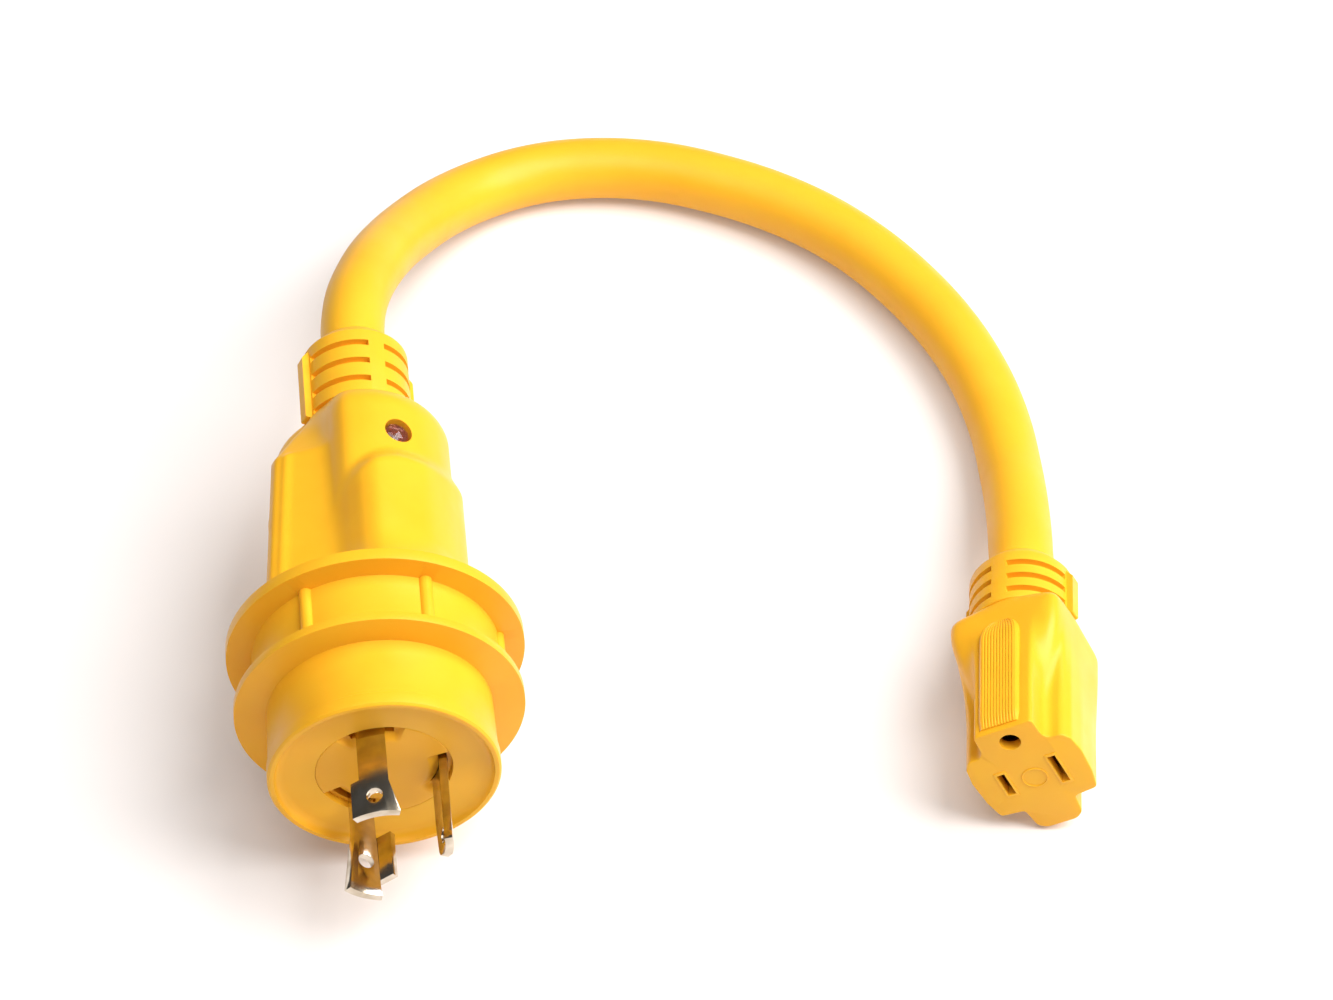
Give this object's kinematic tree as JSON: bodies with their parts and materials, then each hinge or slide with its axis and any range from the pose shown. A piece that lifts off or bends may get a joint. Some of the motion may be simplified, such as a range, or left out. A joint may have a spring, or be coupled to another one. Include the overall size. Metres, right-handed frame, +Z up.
{
  "type": "shore power adapter cord",
  "caption": "Short yellow adapter cord: a ringed locking plug with curved blades and a power lamp on one end, a straight-blade connector on the other, lying in a U.",
  "frame": {"origin": "middle of the base of the plug and the connector together, on the surface that they lie on", "axes": "+Z up; +X from the plug towards the connector; -Y the way the blades and the sockets point"},
  "size_m": [0.1945, 0.2511, 0.0666],
  "materials": {
    "yellow_body": "moulded PVC, satin gloss",
    "yellow_sleeve": "moulded PVC, satin",
    "yellow_jacket": "extruded flexible PVC, satin",
    "yellow_core": "moulded PVC, satin",
    "nickel_blade": "nickel plated brass, bright",
    "brass_contact": "rolled spring brass",
    "clear_lens": "clear faceted acrylic",
    "lamp_glass": "red glass bulb",
    "resistor_coat": "dipped ceramic coat",
    "tinned_wire": "tinned wire",
    "black_insulation": "extruded PVC",
    "white_insulation": "extruded PVC",
    "green_insulation": "extruded PVC",
    "copper_strand": "bunched bare copper, 10 AWG",
    "paper_filler": "twisted kraft filler"
  },
  "bodies": {
    "root": {"plug_body": "yellow_body", "connector_body": "yellow_body", "plug_strain_relief": "yellow_sleeve", "connector_strain_relief": "yellow_sleeve", "cord_jacket": "yellow_jacket", "plug_blade_carrier": "yellow_core", "contact_carrier": "yellow_core", "hot_blade": "nickel_blade", "neutral_blade": "nickel_blade", "ground_blade": "nickel_blade", "hot_contact": "brass_contact", "neutral_contact": "brass_contact", "ground_contact": "brass_contact", "indicator_lens": "clear_lens", "indicator_lamp": "lamp_glass", "lamp_resistor": "resistor_coat", "lamp_lead_hot": "tinned_wire", "lamp_lead_middle": "tinned_wire", "lamp_lead_neutral": "tinned_wire", "hot_insulation": "black_insulation", "neutral_insulation": "white_insulation", "ground_insulation": "green_insulation", "hot_strands": "copper_strand", "neutral_strands": "copper_strand", "ground_strands": "copper_strand", "cord_filler_1": "paper_filler", "cord_filler_2": "paper_filler", "cord_filler_3": "paper_filler"}
  },
  "joints": []
}
